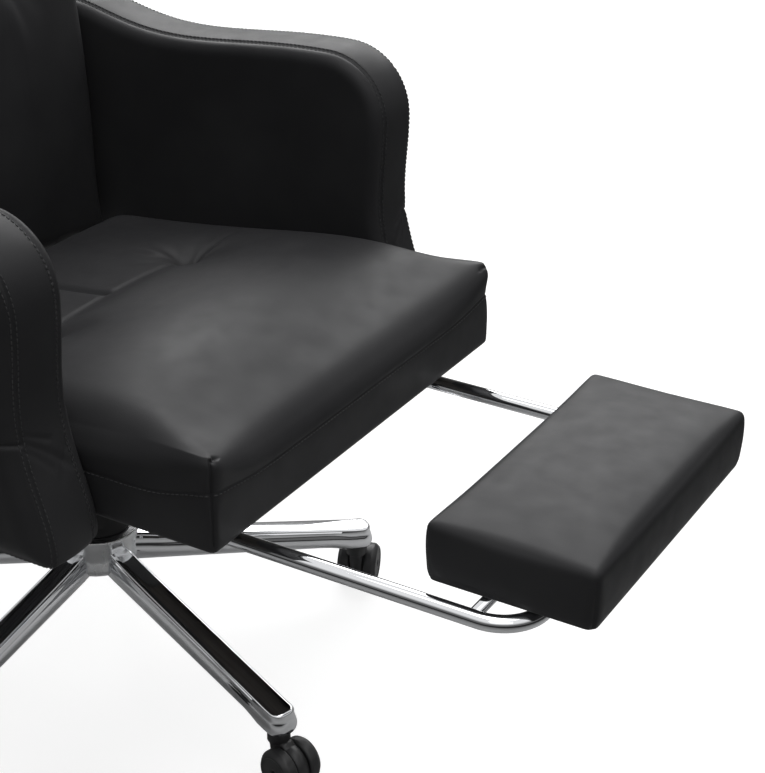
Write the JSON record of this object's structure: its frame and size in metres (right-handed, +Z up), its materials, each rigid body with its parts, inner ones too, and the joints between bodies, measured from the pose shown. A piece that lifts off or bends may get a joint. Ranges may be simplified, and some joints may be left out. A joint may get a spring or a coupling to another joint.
{
  "type": "reclining office chair",
  "caption": "High-backed swivel office chair in black leatherette with closed padded arms, a reclining back, a footrest that flips over and slides in, and a chromed star base on casters.",
  "frame": {"origin": "on the floor, under the middle of the whole chair's box", "axes": "+Z up, the sitter faces -Y, the sitter's left is +X"},
  "size_m": [0.69, 1.05, 1.157],
  "materials": {
    "leather_black": "satin",
    "chrome": "polished",
    "steel_black": "satin",
    "plastic_black": "matte",
    "nylon_black": "satin",
    "plywood": "matte"
  },
  "bodies": {
    "base": {"base_star": "chrome", "lift_cylinder": "steel_black", "cover_lower": "plastic_black"},
    "lift": {"lift_piston": "chrome", "cover_upper": "plastic_black"},
    "seat": {"seat_mechanism": "steel_black", "seat_board": "plywood", "seat_cushion": "leather_black", "arm_left": "leather_black", "arm_right": "leather_black", "arm_bracket_left": "steel_black", "arm_bracket_right": "steel_black", "hinge_seat_plate_left": "steel_black", "hinge_seat_plate_right": "steel_black", "footrest_rail_left": "steel_black", "footrest_rail_right": "steel_black"},
    "backrest": {"back_cushion": "leather_black", "head_cushion": "leather_black", "back_board": "plywood", "back_shell": "leather_black", "hinge_back_plate_left": "steel_black", "hinge_back_plate_right": "steel_black"},
    "height_lever": {"height_lever": "steel_black", "height_lever_grip": "plastic_black"},
    "recline_lever": {"recline_lever": "steel_black", "recline_lever_grip": "plastic_black"},
    "footrest_slider": {"footrest_frame": "chrome", "footrest_cross_bar": "chrome", "footrest_plug_left": "plastic_black", "footrest_plug_right": "plastic_black"},
    "footrest_flap": {"footrest_pad": "leather_black", "footrest_board": "plywood", "footrest_clip_left": "steel_black", "footrest_clip_right": "steel_black"},
    "caster_1": {"caster_stem_1": "steel_black", "caster_hood_1": "plastic_black", "caster_axle_1": "steel_black"},
    "wheel_1a": {"caster_wheel_1a": "nylon_black"},
    "wheel_1b": {"caster_wheel_1b": "nylon_black"},
    "caster_2": {"caster_stem_2": "steel_black", "caster_hood_2": "plastic_black", "caster_axle_2": "steel_black"},
    "wheel_2a": {"caster_wheel_2a": "nylon_black"},
    "wheel_2b": {"caster_wheel_2b": "nylon_black"},
    "caster_3": {"caster_stem_3": "steel_black", "caster_hood_3": "plastic_black", "caster_axle_3": "steel_black"},
    "wheel_3a": {"caster_wheel_3a": "nylon_black"},
    "wheel_3b": {"caster_wheel_3b": "nylon_black"},
    "caster_4": {"caster_stem_4": "steel_black", "caster_hood_4": "plastic_black", "caster_axle_4": "steel_black"},
    "wheel_4a": {"caster_wheel_4a": "nylon_black"},
    "wheel_4b": {"caster_wheel_4b": "nylon_black"},
    "caster_5": {"caster_stem_5": "steel_black", "caster_hood_5": "plastic_black", "caster_axle_5": "steel_black"},
    "wheel_5a": {"caster_wheel_5a": "nylon_black"},
    "wheel_5b": {"caster_wheel_5b": "nylon_black"}
  },
  "joints": [
    {"name": "seat_lift", "type": "slide", "parent": "base", "child": "lift", "axis": [0, 0, 1], "range_m": [0, 0.08]},
    {"name": "seat_swivel", "type": "hinge", "parent": "lift", "child": "seat", "pos_m": [0, 0.14377, 0.35], "axis": [0, 0, 1], "continuous": true},
    {"name": "back_recline", "type": "hinge", "parent": "seat", "child": "backrest", "pos_m": [0, 0.33377, 0.377], "axis": [-1, 0, 0], "range_deg": [0, 45]},
    {"name": "height_lever_pull", "type": "hinge", "parent": "seat", "child": "height_lever", "pos_m": [-0.066, 0.16378, 0.348], "axis": [0, 1, 0], "range_deg": [0, 7], "stiffness_Nm_per_rad": 3, "springref_deg": -5.73},
    {"name": "recline_lever_pull", "type": "hinge", "parent": "seat", "child": "recline_lever", "pos_m": [0.066, 0.16378, 0.348], "axis": [0, -1, 0], "range_deg": [0, 7], "stiffness_Nm_per_rad": 3, "springref_deg": -5.73},
    {"name": "footrest_slide", "type": "slide", "parent": "seat", "child": "footrest_slider", "axis": [0, 1, 0], "range_m": [0, 0.15]},
    {"name": "footrest_flip", "type": "hinge", "parent": "footrest_slider", "child": "footrest_flap", "pos_m": [0, -0.41923, 0.341], "axis": [-1, 0, 0], "range_deg": [0, 180]},
    {"name": "caster_1_swivel", "type": "hinge", "parent": "base", "child": "caster_1", "pos_m": [-0.0948, -0.15872, 0.0615], "axis": [0, 0, 1], "continuous": true},
    {"name": "wheel_1a_spin", "type": "hinge", "parent": "caster_1", "child": "wheel_1a", "pos_m": [-0.09976, -0.17602, 0.02462], "axis": [0.9613, -0.2756, 0], "continuous": true},
    {"name": "wheel_1b_spin", "type": "hinge", "parent": "caster_1", "child": "wheel_1b", "pos_m": [-0.09976, -0.17602, 0.02462], "axis": [0.9613, -0.2756, 0], "continuous": true},
    {"name": "caster_2_swivel", "type": "hinge", "parent": "base", "child": "caster_2", "pos_m": [0.2584, -0.03986, 0.0615], "axis": [0, 0, 1], "continuous": true},
    {"name": "wheel_2a_spin", "type": "hinge", "parent": "caster_2", "child": "wheel_2a", "pos_m": [0.27531, -0.0337, 0.02462], "axis": [-0.342, 0.9397, 0], "continuous": true},
    {"name": "wheel_2b_spin", "type": "hinge", "parent": "caster_2", "child": "wheel_2b", "pos_m": [0.27531, -0.0337, 0.02462], "axis": [-0.342, 0.9397, 0], "continuous": true},
    {"name": "caster_3_swivel", "type": "hinge", "parent": "base", "child": "caster_3", "pos_m": [0.25449, 0.33278, 0.0615], "axis": [0, 0, 1], "continuous": true},
    {"name": "wheel_3a_spin", "type": "hinge", "parent": "caster_3", "child": "wheel_3a", "pos_m": [0.26828, 0.34435, 0.02462], "axis": [-0.6428, 0.766, 0], "continuous": true},
    {"name": "wheel_3b_spin", "type": "hinge", "parent": "caster_3", "child": "wheel_3b", "pos_m": [0.26828, 0.34435, 0.02462], "axis": [-0.6428, 0.766, 0], "continuous": true},
    {"name": "caster_4_swivel", "type": "hinge", "parent": "base", "child": "caster_4", "pos_m": [-0.10111, 0.44422, 0.0615], "axis": [0, 0, 1], "continuous": true},
    {"name": "wheel_4a_spin", "type": "hinge", "parent": "caster_4", "child": "wheel_4a", "pos_m": [-0.11803, 0.45037, 0.02462], "axis": [-0.342, -0.9397, 0], "continuous": true},
    {"name": "wheel_4b_spin", "type": "hinge", "parent": "caster_4", "child": "wheel_4b", "pos_m": [-0.11803, 0.45037, 0.02462], "axis": [-0.342, -0.9397, 0], "continuous": true},
    {"name": "caster_5_swivel", "type": "hinge", "parent": "base", "child": "caster_5", "pos_m": [-0.31698, 0.14045, 0.0615], "axis": [0, 0, 1], "continuous": true},
    {"name": "wheel_5a_spin", "type": "hinge", "parent": "caster_5", "child": "wheel_5a", "pos_m": [-0.30541, 0.15424, 0.02462], "axis": [-0.766, 0.6428, 0], "continuous": true},
    {"name": "wheel_5b_spin", "type": "hinge", "parent": "caster_5", "child": "wheel_5b", "pos_m": [-0.30541, 0.15424, 0.02462], "axis": [-0.766, 0.6428, 0], "continuous": true}
  ]
}
